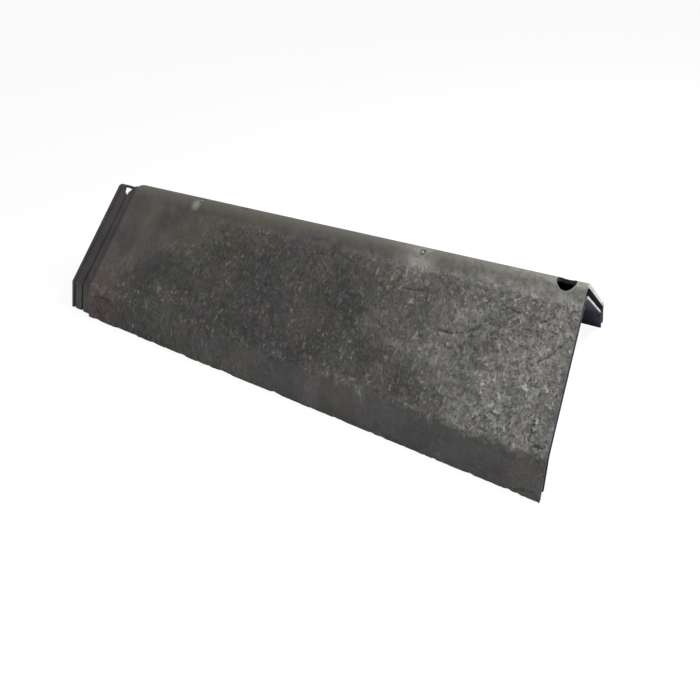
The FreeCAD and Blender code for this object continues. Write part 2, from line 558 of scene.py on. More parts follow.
@dataclass(frozen=True)
class RivenRelief:
    """Sizes of the riven slate relief, in metres and in waves per metre."""

    plate_depth: float = 0.95 * MM
    plate_scale: float = 24.0
    plate_levels: float = 10.0
    fleck_depth: float = 0.65 * MM
    fleck_scale: float = 150.0
    crack_depth: float = 0.6 * MM
    crack_scale: float = 13.0
    hem_wave: float = 1.3 * MM
    seed: float = 3.7

    def tree(self) -> bpy.types.NodeTree:
        """Geometry Nodes tree that carves the relief into the skin.

        Returns:
            A tree with named inputs for each size, ending in Realize Instances and Set Material.
        """
        floats = {"Plate Depth": self.plate_depth, "Plate Scale": self.plate_scale,
                  "Plate Levels": self.plate_levels, "Fleck Depth": self.fleck_depth,
                  "Fleck Scale": self.fleck_scale, "Crack Depth": self.crack_depth,
                  "Crack Scale": self.crack_scale, "Hem Wave": self.hem_wave, "Seed": self.seed}
        inputs: dict[str, tuple[str, object]] = {"Geometry": ("NodeSocketGeometry", None)}
        inputs.update({key: ("NodeSocketFloat", value) for key, value in floats.items()})
        inputs["Material"] = ("NodeSocketMaterial", None)
        w, given, leave = group_tree("riven_relief", "GeometryNodeTree", inputs,
                                     {"Geometry": "NodeSocketGeometry"})
        surface = self._named(w, "surface", "FLOAT_VECTOR")
        weight = self._named(w, "relief_weight", "FLOAT")
        outward = self._named(w, "outward", "FLOAT_VECTOR")
        hem = self._named(w, "hem_weight", "FLOAT")
        seeded = w.vector("ADD", surface, w.combine(given["Seed"], given["Seed"], given["Seed"]))
        level, edge = self._plates(w, given, seeded)
        flecks = self._flecks(w, given, seeded)
        cracks = self._cracks(w, given, seeded)
        for crack in CRACKS:
            cracks = w.math("MAXIMUM", cracks, crack.mask(w, surface))
        depth = w.times(w.minus(1.0, level), given["Plate Depth"])
        depth = w.plus(depth, w.times(flecks, given["Fleck Depth"]))
        depth = w.times(depth, weight)
        depth = w.plus(depth, w.times(cracks, given["Crack Depth"]))
        shift = w.vector("SCALE", outward, scale=w.times(depth, -1.0))
        x = w.axes(surface)[0]
        hem_noise = w.noise(w.combine(x, given["Seed"], 0.0), 34.0, 4.0, 0.6)
        lift = w.times(w.ramp(hem_noise, 0.50, 0.60), given["Hem Wave"])
        lifted = w.combine(0.0, 0.0, w.times(lift, hem))
        place = w.node("GeometryNodeInputPosition").outputs[0]
        px, py, pz = w.axes(w.vector("ADD", place, w.vector("ADD", shift, lifted)))
        moved = w.node("GeometryNodeSetPosition")
        w.put(moved.inputs["Geometry"], given["Geometry"])
        w.put(moved.inputs["Position"], w.combine(px, py, w.math("MAXIMUM", pz, 0.0)))
        last = moved.outputs[0]
        for name, value in (("plate_level", level), ("plate_edge", edge),
                            ("fleck_mask", flecks), ("crack_mask", cracks)):
            store = w.node("GeometryNodeStoreNamedAttribute", data_type="FLOAT", domain="POINT")
            w.put(store.inputs["Geometry"], last)
            w.put(store.inputs["Name"], name)
            w.put(store.inputs["Value"], value)
            last = store.outputs[0]
        realize = w.node("GeometryNodeRealizeInstances")
        w.put(realize.inputs[0], last)
        finish = w.node("GeometryNodeSetMaterial")
        w.put(finish.inputs["Geometry"], realize.outputs[0])
        w.put(finish.inputs["Material"], given["Material"])
        w.put(leave.inputs[0], finish.outputs[0])
        return w.tree

    @staticmethod
    def _named(w: NodeWriter, name: str, kind: str) -> bpy.types.NodeSocket:
        """Value of a stored attribute."""
        made = w.node("GeometryNodeInputNamedAttribute", data_type=kind)
        w.put(made.inputs["Name"], name)
        return made.outputs["Attribute"]

    @staticmethod
    def _plates(w: NodeWriter, given: dict, seeded: object) -> tuple[bpy.types.NodeSocket,
                                                                     bpy.types.NodeSocket]:
        """Level of the split plates, flat with short steps between, and the mask of the steps."""
        field_value = w.noise(seeded, given["Plate Scale"], 6.0, 0.62, 0.55)
        stretched = w.times(field_value, given["Plate Levels"])
        whole = w.math("FLOOR", stretched)
        step = w.ramp(w.math("FRACT", stretched), 0.36, 0.62)
        level = w.math("DIVIDE", w.plus(whole, step), given["Plate Levels"])
        edge = w.times(w.times(step, 4.0), w.minus(1.0, step))
        return w.ramp(level, 0.2, 0.8), edge

    @staticmethod
    def _flecks(w: NodeWriter, given: dict, seeded: object) -> bpy.types.NodeSocket:
        """Mask of the small flakes that split off, drawn out down the slope."""
        drawn = w.vector("MULTIPLY", seeded, (1.0, 0.42, 1.0))
        field_value = w.noise(drawn, given["Fleck Scale"], 4.0, 0.6, 0.4)
        return w.ramp(field_value, 0.54, 0.66)

    @staticmethod
    def _cracks(w: NodeWriter, given: dict, seeded: object) -> bpy.types.NodeSocket:
        """Mask of a few fine curved cracks."""
        drift = w.noise(seeded, 30.0, 3.0, 0.5, output="Color")
        drift = w.vector("SCALE", w.vector("SUBTRACT", drift, (0.5, 0.5, 0.5)), scale=0.05)
        gap = w.edges(w.vector("ADD", seeded, drift), given["Crack Scale"])
        line = w.ramp(gap, 0.002, 0.014, 1.0, 0.0)
        patch = w.ramp(w.noise(seeded, 12.0, 2.0, 0.5), 0.56, 0.62)
        return w.times(line, patch)


# ---------------------------------------------------------------------------------------------
# Finishes
# ---------------------------------------------------------------------------------------------


Colour = tuple[float, float, float, float]


@dataclass(frozen=True)
class SharedEffects:
    """Shader groups that more than one finish uses."""

    grain: bpy.types.NodeTree
    mottle: bpy.types.NodeTree

    @staticmethod
    def build() -> "SharedEffects":
        """Make the groups once."""
        return SharedEffects(SharedEffects._grain(), SharedEffects._mottle())

    @staticmethod
    def _grain() -> bpy.types.NodeTree:
        """Fine moulded grain: a height and a mask from a place and a scale."""
        w, given, leave = group_tree(
            "moulded_grain", "ShaderNodeTree",
            {"Vector": ("NodeSocketVector", None), "Scale": ("NodeSocketFloat", 700.0),
             "Pitting": ("NodeSocketFloat", 0.3)},
            {"Height": "NodeSocketFloat", "Pits": "NodeSocketFloat"})
        fine = w.noise(given["Vector"], given["Scale"], 4.0, 0.65)
        coarse = w.noise(given["Vector"], w.times(given["Scale"], 0.31), 5.0, 0.6, 0.3)
        pits = w.ramp(coarse, 0.36, 0.47, 1.0, 0.0)
        body = w.plus(w.times(fine, 0.4), coarse)
        height = w.minus(body, w.times(pits, given["Pitting"]))
        w.put(leave.inputs["Height"], height)
        w.put(leave.inputs["Pits"], pits)
        return w.tree

    @staticmethod
    def _mottle() -> bpy.types.NodeTree:
        """Soft blotches that drift between three colours, with finer mottling inside them."""
        w, given, leave = group_tree(
            "pigment_mottle", "ShaderNodeTree",
            {"Vector": ("NodeSocketVector", None), "Scale": ("NodeSocketFloat", 11.0),
             "First": ("NodeSocketColor", None), "Second": ("NodeSocketColor", None),
             "Third": ("NodeSocketColor", None), "Contrast": ("NodeSocketFloat", 0.3)},
            {"Color": "NodeSocketColor", "Patches": "NodeSocketFloat"})
        wide = w.noise(given["Vector"], given["Scale"], 4.0, 0.55, 0.6)
        moved = w.vector("ADD", given["Vector"], (3.1, 7.7, 1.9))
        other = w.noise(moved, w.times(given["Scale"], 1.4), 4.0, 0.55, 0.5)
        colour = w.mix(w.ramp(wide, 0.4, 0.62), given["First"], given["Second"])
        colour = w.mix(w.ramp(other, 0.52, 0.68), colour, given["Third"])
        fine = w.noise(given["Vector"], w.times(given["Scale"], 14.0), 6.0, 0.7, 0.2)
        spread = w.ramp(fine, 0.3, 0.7, -1.0, 1.0)
        gain = w.line(spread, given["Contrast"], 1.0)
        w.put(leave.inputs["Color"], w.vector("SCALE", colour, scale=gain))
        w.put(leave.inputs["Patches"], wide)
        return w.tree


def use_group(w: NodeWriter, tree: bpy.types.NodeTree, **values: object) -> bpy.types.Node:
    """Place a group in a material and set its inputs by name."""
    made = w.node("ShaderNodeGroup", node_tree=tree)
    for key, value in values.items():
        w.put(made.inputs[key], value)
    return made


def new_material(name: str) -> tuple[NodeWriter, bpy.types.Material, bpy.types.Node]:
    """Empty material with a Principled shader.

    Args:
        name: name of the material.

    Returns:
        The writer, the material and the shader node.
    """
    material = bpy.data.materials.new(name)
    material.use_nodes = True
    material.node_tree.nodes.clear()
    w = NodeWriter(material.node_tree)
    shader = w.node("ShaderNodeBsdfPrincipled")
    output = w.node("ShaderNodeOutputMaterial")
    w.put(output.inputs["Surface"], shader.outputs[0])
    return w, material, shader


@dataclass(frozen=True)
class SkinMasks:
    """Places and masks on the skin that several parts of its finish read."""

    x: bpy.types.NodeSocket
    y: bpy.types.NodeSocket
    slope: bpy.types.NodeSocket         # place on the unfolded slope
    drawn: bpy.types.NodeSocket         # the same, drawn out down the slope
    ragged: bpy.types.NodeSocket        # distance from the ridge plane, with torn edges
    along: bpy.types.NodeSocket         # place along the ridge, drifting
    riven: bpy.types.NodeSocket
    flaky: bpy.types.NodeSocket         # riven, and calmer on the plain skirt
    below: bpy.types.NodeSocket         # past the fold
    open_end: bpy.types.NodeSocket
    plain: bpy.types.NodeSocket         # calm part of the skirt, which also takes the painted shade of the skirt
    flakes: bpy.types.NodeSocket        # height of the fine flakes


@dataclass(frozen=True)
class RivenSlateFinish:
    """Weathered slate look of the outer faces."""

    name: str = "riven_slate_polymer"
    charcoal: Colour = (0.066, 0.063, 0.060, 1.0)
    olive: Colour = (0.080, 0.076, 0.060, 1.0)
    plum: Colour = (0.090, 0.077, 0.075, 1.0)
    # skirt: darker colour of the plain skirt, painted shade of the steep face turned from the light
    skirt: Colour = (0.055, 0.052, 0.050, 1.0)
    rust: Colour = (0.105, 0.078, 0.068, 1.0)
    # pale: colour of the cloud at the open end, partly pale mottling and partly painted sheen
    pale: Colour = (0.43, 0.42, 0.39, 1.0)
    ridge: Colour = (0.088, 0.084, 0.068, 1.0)
    blush: Colour = (0.25, 0.238, 0.222, 1.0)
    pit: Colour = (0.022, 0.021, 0.020, 1.0)
    specular: float = 0.22
    roughness: tuple[float, float] = (0.52, 0.70)
    pale_sheen_from: float = 0.05             # along X, where the open end starts to turn paler: pale mottling with painted sheen
    pale_sheen_to: float = 0.25
    pale_sheen_strength: float = 0.72
    rim_highlight_width: float = 1.2 * MM         # painted highlight on the rim of the access hole
    flake_relief: float = 4.0 * MM
    grain_relief: float = 0.6 * MM

    def build(self, effects: SharedEffects, section: CapSection, gates: tuple["GateMark", ...],
              hole_x: float, hole_radius: float) -> bpy.types.Material:
        """Make the material.

        Args:
            effects: the shared groups.
            section: the section, for the place of the fold.
            gates: injection points, each with a pale blush below it.
            hole_x: centre of the access hole.
            hole_radius: its radius.

        Returns:
            The material.
        """
        w, material, shader = new_material(self.name)
        masks = self._masks(w, section)
        colour = self._pigment(w, effects, masks)
        colour = self._flaked(w, masks, section, colour)
        crown = w.ramp(masks.ragged, 0.0115, 0.0175, 1.0, 0.0)
        crown = w.times(crown, w.line(masks.open_end, -0.25, 0.7))
        colour = w.mix(crown, colour, self.ridge)
        for gate in gates:
            colour = w.mix(gate.blush_mask(w, masks.x, masks.y), colour, self.blush)
        reach = w.vector("LENGTH", w.combine(w.minus(masks.x, hole_x), masks.y, 0.0))
        # paler ring round the access hole: painted highlight on its edge
        rim_highlight = w.ramp(reach, hole_radius, hole_radius + self.rim_highlight_width, 0.35, 0.0)
        w.put(shader.inputs["Base Color"], w.mix(rim_highlight, colour, self.blush))
        rough = w.ramp(w.noise(masks.slope, 60.0, 4.0, 0.6), 0.3, 0.7, *self.roughness)
        w.put(shader.inputs["Roughness"], rough)
        w.put(shader.inputs["Specular IOR Level"], self.specular)
        grain = use_group(w, effects.grain, Vector=masks.slope, Scale=650.0, Pitting=0.5)
        flaked = w.bump(w.line(masks.flaky, 0.9, 0.05), self.flake_relief,
                        w.ramp(masks.flakes, 0.38, 0.62))
        w.put(shader.inputs["Normal"], w.bump(w.line(masks.flaky, 0.5, 0.2), self.grain_relief,
                                              grain.outputs["Height"], flaked))
        return material

    def _masks(self, w: NodeWriter, section: CapSection) -> SkinMasks:
        """Places and masks that the rest of the finish reads."""
        x, y, _ = w.axes(w.node("ShaderNodeTexCoord").outputs["Object"])
        across = w.math("ABSOLUTE", y)
        slope = w.combine(x, self._down(w, section, across), w.times(y, 0.6))
        drawn = w.vector("MULTIPLY", slope, (1.0, 0.36, 1.0))
        ragged = w.line(w.noise(slope, 105.0, 6.0, 0.75), 0.013, across)
        below = w.ramp(ragged, section.fold_y + 0.0045, section.fold_y + 0.0075)
        drift = w.minus(w.noise(slope, 16.0, 5.0, 0.65, 0.5), 0.5)
        along = w.line(drift, 0.26, x)
        plain = w.times(below, w.ramp(along, -0.14, 0.06, 0.12, 0.85))
        riven = self._riven_area(w, x, across)
        return SkinMasks(x, y, slope, drawn, ragged, along, riven,
                         w.times(riven, w.line(plain, -0.68, 1.0)), below,
                         w.ramp(along, self.pale_sheen_from, self.pale_sheen_to), plain,
                         w.noise(drawn, 270.0, 5.0, 0.70, 0.1))

    def _pigment(self, w: NodeWriter, effects: SharedEffects,
                 masks: SkinMasks) -> bpy.types.NodeSocket:
        """Drifting colours: slate, plain skirt darkened as painted shade, rusty corner, pale open
        end that is partly painted sheen, tone of the plates.
        """
        mottle = use_group(w, effects.mottle, Vector=masks.slope, Scale=13.0, First=self.charcoal,
                           Second=self.olive, Third=self.plum,
                           Contrast=w.line(masks.riven, 0.20, 0.05))
        # darker plain skirt: painted shade of the steep face
        colour = w.mix(masks.plain, mottle.outputs["Color"], self.skirt)
        corner = w.times(w.ramp(masks.along, -0.15, -0.21), w.ramp(masks.ragged, 0.05, 0.09))
        colour = w.mix(w.times(corner, 0.8), colour, self.rust)
        speckle = w.ramp(w.noise(masks.slope, 230.0, 7.0, 0.80), 0.38, 0.60, 0.3, 1.0)
        bank = w.ramp(w.noise(masks.slope, 34.0, 5.0, 0.7, 0.5), 0.36, 0.62, 0.6, 1.0)
        # pale cloud over the wing at the open end: pale mottling, partly painted sheen from the
        # light near the camera
        pale_cloud_and_sheen = w.times(w.times(w.times(masks.open_end, speckle), bank),
                        w.minus(1.0, masks.below))
        colour = w.mix(w.times(pale_cloud_and_sheen, self.pale_sheen_strength), colour, self.pale)
        tone = w.ramp(self._stored(w, "plate_level"), 0.15, 0.85, 0.82, 1.20)
        return w.vector("SCALE", colour, scale=w.times(tone, w.line(masks.riven, 0.41, 0.68)))

    def _flaked(self, w: NodeWriter, masks: SkinMasks, section: CapSection,
                colour: object) -> bpy.types.NodeSocket:
        """Colour with pale flakes, a pale broken line along the fold that is partly chips and
        partly painted highlight, and dark pits, holes and cracks.
        """
        slope, drawn, flaky = masks.slope, masks.drawn, masks.flaky
        chips = w.times(self._stored(w, "plate_edge"),
                        w.ramp(w.noise(drawn, 95.0, 4.0, 0.65), 0.44, 0.60))
        patches = w.times(w.ramp(w.noise(slope, 24.0, 4.0, 0.6), 0.43, 0.57), 0.75)
        patches = w.times(flaky, w.math("MAXIMUM", patches, chips))
        grit = w.times(w.ramp(masks.flakes, 0.57, 0.67), patches)
        pits = w.times(w.ramp(masks.flakes, 0.41, 0.34), flaky)
        colour = w.mix(w.times(w.times(chips, flaky), 0.14), colour, self.blush)
        light = w.plus(w.times(grit, 0.38), w.times(self._stored(w, "fleck_mask"), 0.05))
        colour = w.mix(light, colour, self.blush)
        colour = w.mix(w.times(pits, 0.5), colour, self.pit)
        holes = w.ramp(w.noise(slope, 400.0, 3.0, 0.55), 0.43, 0.36)
        holes = w.times(holes, w.ramp(w.noise(slope, 27.0, 4.0, 0.6), 0.42, 0.56))
        colour = w.mix(w.times(w.times(holes, flaky), w.line(masks.open_end, 0.62, 0.14)), colour,
                       self.pit)
        # pale broken line along the fold's edge: chips, partly painted highlight on the fold
        fold_highlight_and_chips = w.times(w.ramp(masks.ragged, section.fold_y - 0.0025, section.fold_y + 0.0045),
                        w.minus(1.0, masks.below))
        broken = w.ramp(w.noise(slope, 120.0, 4.0, 0.7), 0.45, 0.62)
        colour = w.mix(w.times(w.times(fold_highlight_and_chips, broken), 0.46), colour, self.blush)
        return w.mix(w.times(self._stored(w, "crack_mask"), 0.6), colour, self.pit)

    @staticmethod
    def _down(w: NodeWriter, section: CapSection, across: object) -> bpy.types.NodeSocket:
        """Distance down the slope from the ridge, over wing and skirt."""
        wing = w.math("MINIMUM", across, section.fold_y)
        skirt = w.math("MAXIMUM", w.minus(across, section.fold_y), 0.0)
        on_skirt = w.math("DIVIDE", skirt, math.cos(section.skirt_pitch))
        return w.line(wing, 1.0 / math.cos(section.wing_pitch), on_skirt)

    @staticmethod
    def _riven_area(w: NodeWriter, x: object, across: object) -> bpy.types.NodeSocket:
        """Where the face is split rather than smooth: away from the ridge and the calm corner."""
        edge = w.line(w.noise(w.combine(x, across, 0.0), 25.0, 4.0, 0.6), 0.10, x)
        calm = w.ramp(w.line(across, 2.2, edge), -0.06, 0.05)
        return w.times(calm, w.ramp(across, 0.008, 0.017))

    @staticmethod
    def _stored(w: NodeWriter, name: str) -> bpy.types.NodeSocket:
        """Value of a mask that the relief stored on the mesh."""
        made = w.node("ShaderNodeAttribute", attribute_name=name)
        return made.outputs["Fac"]


@dataclass(frozen=True)
class PlainMouldedFinish:
    """Unweathered polymer as it leaves the tool: one colour drifting a little, with fine grain."""

    name: str
    main: Colour
    second: Colour
    third: Colour
    roughness: float
    specular: float
    contrast: float = 0.12
    bump: float = 0.25

    def build(self, effects: SharedEffects) -> bpy.types.Material:
        """Make the material from the shared groups."""
        w, material, shader = new_material(self.name)
        place = w.node("ShaderNodeTexCoord").outputs["Object"]
        mottle = use_group(w, effects.mottle, Vector=place, Scale=23.0, First=self.main,
                           Second=self.second, Third=self.third, Contrast=self.contrast)
        w.put(shader.inputs["Base Color"], mottle.outputs["Color"])
        rough = w.ramp(mottle.outputs["Patches"], 0.3, 0.7, self.roughness - 0.05,
                       self.roughness + 0.07)
        w.put(shader.inputs["Roughness"], rough)
        w.put(shader.inputs["Specular IOR Level"], self.specular)
        grain = use_group(w, effects.grain, Vector=place, Scale=900.0, Pitting=0.1)
        w.put(shader.inputs["Normal"], w.bump(self.bump, 0.2 * MM, grain.outputs["Height"]))
        return material


PLAIN_FINISHES = (
    PlainMouldedFinish("raw_polymer", (0.0275, 0.0280, 0.0425, 1.0),
                       (0.0345, 0.0350, 0.0520, 1.0), (0.0235, 0.0230, 0.0330, 1.0), 0.55, 0.06),
    PlainMouldedFinish("tongue_polymer", (0.032, 0.029, 0.028, 1.0),
                       (0.044, 0.038, 0.037, 1.0), (0.024, 0.022, 0.022, 1.0), 0.5, 0.2),
    # pale end polymer: painted reflection of the bright floor on the far wing's end faces
    PlainMouldedFinish("end_painted_reflection_polymer", (0.34, 0.32, 0.30, 1.0),
                       (0.40, 0.38, 0.36, 1.0), (0.28, 0.265, 0.25, 1.0), 0.6, 0.3),
    # lighter copy of the raw polymer: painted fill light in the access bore and on the seat under
    # it
    PlainMouldedFinish("bore_painted_light_polymer", (0.052, 0.050, 0.066, 1.0),
                       (0.060, 0.058, 0.076, 1.0), (0.046, 0.044, 0.058, 1.0), 0.6, 0.2),
)


@dataclass(frozen=True)
class GateMark:
    """Injection point on the ridge: a pale nub in a shallow ring, with a blush below it."""

    x: float
    y: float
    blush_x: float          # middle of the blush, from the gate
    blush_down: float       # middle of the blush, from the ridge plane
    blush_width: float
    blush_length: float
    ring_radius: float = 2.6 * MM
    nub_radius: float = 1.1 * MM

    def carve(self, cap: bpy.types.Object, section: CapSection) -> None:
        """Cut the ring dimple into the ridge and leave the nub standing in it."""
        centre_z = section.apex_z - section.ridge_radius / math.cos(section.wing_pitch)
        rise = math.sqrt(section.ridge_radius ** 2 - self.y ** 2)
        outward = Vector((0.0, self.y, rise)).normalized()
        place = Vector((self.x, self.y, centre_z + rise))
        ring, nub = self.ring_radius, self.nub_radius
        dimple = turned("gate_dimple", [(ring * 0.55, -0.9 * MM), (ring, -0.1 * MM),
                                        (ring, 1.0 * MM)], place, outward)
        combine(cap, dimple, Joining.CUT)
        stub = turned("gate_nub", [(nub * 1.25, -1.6 * MM), (nub, -0.3 * MM),
                                   (nub * 0.8, -0.1 * MM)], place, outward)
        combine(cap, stub, Joining.ADD)

    def blush_mask(self, w: NodeWriter, x: object, y: object) -> bpy.types.NodeSocket:
        """Strength of the pale blush around the gate, fading down the near wing."""
        across = w.times(y, -1.0)
        apart = w.math("DIVIDE", w.minus(x, self.x + self.blush_x), self.blush_width)
        down = w.math("DIVIDE", w.minus(across, self.blush_down), self.blush_length)
        reach = w.vector("LENGTH", w.combine(apart, down, 0.0))
        torn = w.noise(w.combine(x, across, 0.3), 130.0, 5.0, 0.7, 0.8)
        soft = w.ramp(reach, 0.1, 1.0, 0.72, 0.0)
        patch = w.times(soft, w.ramp(torn, 0.34, 0.62, 0.25, 1.0))
        near = w.vector("LENGTH", w.combine(w.minus(x, self.x),
                                            w.plus(across, self.y), 0.0))
        nub = w.ramp(near, self.nub_radius * 0.8, self.nub_radius * 1.2, 0.9, 0.0)
        ring = w.ramp(near, self.ring_radius * 0.95, self.ring_radius * 1.15, 0.0, 1.0)
        return w.math("MAXIMUM", nub, w.times(patch, ring))


GATES = (
    GateMark(x=-0.121, y=-0.0012, blush_x=-0.004, blush_down=0.0065, blush_width=0.0075,
             blush_length=0.0065),
    GateMark(x=0.1245, y=-0.0033, blush_x=-0.001, blush_down=0.011, blush_width=0.021,
             blush_length=0.021),
)


# ---------------------------------------------------------------------------------------------
# The cap
# ---------------------------------------------------------------------------------------------


@dataclass(frozen=True)
class RivenBody:
    """Wings and skirts: a fine outer grid that takes the relief, and a plain inner face."""

    section: CapSection
    start_x: float
    end_x: float
    relief: RivenRelief
    bevel_length: float = 5.0 * MM
    bevel_drop: float = 1.2 * MM
    fine_step: float = 1.35 * MM
    outer_counts: PathCounts = PathCounts(skirt=21, fold=4, wing=80, ridge=14)
    inner_counts: PathCounts = PathCounts(skirt=3, fold=4, wing=9, ridge=5)
    inner_rows: int = 26
    calm_from: float = -0.17            # along X, where the calm tongue end gives way
    calm_run: float = 0.13
    calm_slant: float = 1.5             # how much sooner it does so further down the slope
    calm_share: float = 0.22            # relief left in the calm part
    ridge_calm: float = 7.0 * MM        # no relief this close to the ridge line
    ridge_fade: float = 9.0 * MM
    end_fade: float = 4.0 * MM
    hem_height: float = 9.0 * MM

    def build(self, material: bpy.types.Material) -> bpy.types.Object:
        """Make the wall, carve its relief and return it as a plain mesh object."""
        rows = int(round((self.end_x - self.start_x) / self.fine_step)) + 1
        xs = np.linspace(self.start_x, self.end_x, rows)
        outer, outward = self._outer_grid(xs)
        parts = MeshParts()
        outer_numbers = parts.add_grid(outer)
        inner_points, _ = self.section.path(self.section.wall, self.inner_counts)
        inner = np.array([np.column_stack([np.full(len(inner_points), x), inner_points])
                          for x in np.linspace(self.start_x, self.end_x, self.inner_rows)])
        inner_numbers = parts.add_grid(inner, flip=True)
        close_wall(parts, outer_numbers, inner_numbers)
        body = parts.to_object("riven_body")
        self._store(body, outer, outward, parts.count)
        modifier = body.modifiers.new("relief", "NODES")
        modifier.node_group = self.relief.tree()
        for item in modifier.node_group.interface.items_tree:
            if item.item_type == "SOCKET" and item.in_out == "INPUT" and item.name == "Material":
                modifier[item.identifier] = material
        bake_modifiers(body)
        return body

    def _outer_grid(self, xs: np.ndarray) -> tuple[np.ndarray, np.ndarray]:
        """Points of the outer face and their outward normals."""
        rows, normals = [], []
        for x in xs:
            share = min((x - self.start_x) / self.bevel_length, 1.0)
            points, outward = self.section.path(self.bevel_drop * (1.0 - share) ** 2,
                                                self.outer_counts)
            rows.append(np.column_stack([np.full(len(points), x), points]))
            normals.append(np.column_stack([np.zeros(len(points)), outward]))
        return np.array(rows), np.array(normals)

    def _store(self, body: bpy.types.Object, outer: np.ndarray, outward: np.ndarray,
               count: int) -> None:
        """Store what the relief reads: place on the slope, weights and directions."""
        flat = outer.reshape(-1, 3)
        across = np.abs(flat[:, 1])
        wing = np.minimum(across, self.section.fold_y) / math.cos(self.section.wing_pitch)
        skirt = np.maximum(across - self.section.fold_y, 0.0) / math.cos(self.section.skirt_pitch)
        down = (wing + skirt) * np.where(flat[:, 1] < 0.0, 1.0, -1.0)
        surface = np.column_stack([flat[:, 0], down, np.zeros(len(flat))])
        weight = self._relief_weight(flat[:, 0], np.abs(down))
        hem = np.clip(1.0 - flat[:, 2] / self.hem_height, 0.0, 1.0) ** 2
        self._attribute(body.data, "surface", surface, count)
        self._attribute(body.data, "outward", outward.reshape(-1, 3), count)
        self._attribute(body.data, "relief_weight", weight, count)
        self._attribute(body.data, "hem_weight", hem, count)

    def _relief_weight(self, x: np.ndarray, down: np.ndarray) -> np.ndarray:
        """Relief strength: calm near the ridge and over the upper part of the tongue end."""
        calm = np.clip((x + self.calm_slant * down - self.calm_from) / self.calm_run, 0.0, 1.0)
        ridge = np.clip((down - self.ridge_calm) / self.ridge_fade, 0.0, 1.0)
        trimmed = np.clip((self.end_x - x) / self.end_fade, 0.0, 1.0)
        smooth = calm * calm * (3.0 - 2.0 * calm)
        return (self.calm_share + (1.0 - self.calm_share) * smooth) * ridge * trimmed

    @staticmethod
    def _attribute(mesh: bpy.types.Mesh, name: str, values: np.ndarray, count: int) -> None:
        """Store values on the first vertices of the mesh, and zero on the rest."""
        kind = "FLOAT_VECTOR" if values.ndim == 2 else "FLOAT"
        data = np.zeros((count, 3) if values.ndim == 2 else count, np.float32)
        data[:len(values)] = values
        layer = mesh.attributes.new(name, kind, "POINT")
        layer.data.foreach_set("vector" if values.ndim == 2 else "value", data.ravel())


@dataclass(frozen=True)
class LapTongue:
    """Stepped tongue at the lower end: shoulder, groove, land, groove and end bead."""

    section: CapSection
    end_x: float
    body_x: float
    wall: float = 3.0 * MM
    lap_clearance: float = 0.3 * MM
    land_drop: float = 0.7 * MM
    groove_depth: float = 1.2 * MM
    shoulder_length: float = 12.0 * MM
    shoulder_groove: float = 3.0 * MM
    end_groove: float = 2.6 * MM
    end_bead: float = 3.8 * MM
    root_length: float = 7.0 * MM
    edge_run: float = 0.5 * MM      # slope at each step
    nose: float = 0.6 * MM          # rounding of the free end
    counts: PathCounts = PathCounts(skirt=6, fold=8, wing=24, ridge=10)

    def build(self) -> bpy.types.Object:
        """Make the tongue as one closed wall."""
        shoulder = self.section.wall + self.lap_clearance
        land = shoulder + self.land_drop
        groove = land + self.groove_depth
        inner = shoulder + self.wall
        shoulder_x = self.body_x - self.shoulder_length
        land_end = shoulder_x - self.shoulder_groove
        bead_end = self.end_x + self.end_bead
        land_start = bead_end + self.end_groove
        run = self.edge_run
        profile = [
            (self.end_x, land + self.nose), (self.end_x + self.nose * 0.4, land + self.nose * 0.25),
            (self.end_x + self.nose, land), (bead_end - run, land), (bead_end, groove),
            (land_start, groove), (land_start + run, land), (land_end - run, land),
            (land_end, groove), (shoulder_x, groove), (shoulder_x + run, shoulder),
            (self.body_x, shoulder), (self.body_x + run, self.section.wall / 2.0),
            (self.body_x + self.root_length, self.section.wall / 2.0),
        ]
        stations = [Station(x, outer, inner) for x, outer in profile]
        return swept_wall("lap_tongue", stations, self.section, self.counts)


@dataclass(frozen=True)
class SlotCollar:
    """Collar inside the open end, its web and the seat under its ridge."""

    section: CapSection
    end_x: float
    tongue_length: float
    inset: float = 8.0 * MM
    wall: float = 1.8 * MM
    ridge_radius: float = 7.0 * MM
    fold_radius: float = 10.0 * MM
    slot_clearance: float = 1.5 * MM
    web: float = 2.6 * MM
    seat_length: float = 22.0 * MM
    seat_depth: float = 6.5 * MM
    end_ring: float = 0.3 * MM          # last ring before the open end
    seam: float = 0.05 * MM             # keeps the web's face off the collar's
    counts: PathCounts = PathCounts(skirt=6, fold=12, wing=24, ridge=14)

    def build(self, hole_x: float) -> bpy.types.Object:
        """Make collar, web and seat as one closed mesh."""
        slot_end = self.end_x - self.tongue_length - self.slot_clearance
        inner = self.inset + self.wall
        half_wall = self.section.wall / 2.0
        collar = swept_wall("slot_collar", [
            Station(x, self.inset, inner, self.ridge_radius, self.fold_radius)
            for x in (slot_end - self.web, slot_end, self.end_x - self.end_ring, self.end_x)
        ], self.section, self.counts)
        web = swept_wall("slot_web", [
            Station(x, half_wall, self.inset + self.wall / 2.0)
            for x in (slot_end - self.web + self.seam, slot_end)
        ], self.section, self.counts)
        combine(collar, web, Joining.ADD)
        combine(collar, self._seat(hole_x), Joining.ADD)
        return collar

    def _seat(self, hole_x: float) -> bpy.types.Object:
        """Flat-bottomed pad that fills the collar's ridge around the screw."""
        inset = self.inset + self.wall / 2.0
        crown = self.ridge_radius * (1.0 / math.cos(self.section.wing_pitch) - 1.0)
        flat_z = self.section.corners(self.inset)[2][1] - crown - self.seat_depth
        points, _ = self.section.path(inset, self.counts, self.ridge_radius, self.fold_radius)
        roof = [tuple(p) for p in points if p[1] > flat_z]
        apex = self.section.corners(inset)[2][1]
        reach = (apex - flat_z) / math.tan(self.section.wing_pitch)
        outline = [(-reach, flat_z)] + roof + [(reach, flat_z)]
        parts = MeshParts()
        count = len(outline)
        for x in (hole_x - self.seat_length / 2.0, hole_x + self.seat_length / 2.0):
            parts.vertices.append(np.array([(x, y, z) for y, z in outline]))
        for index in range(count):
            after = (index + 1) % count
            parts.faces.append((index, index + count, after + count, after))
        parts.faces.append(tuple(range(count)))
        parts.faces.append(tuple(range(count, 2 * count))[::-1])
        return parts.to_object("screw_seat")


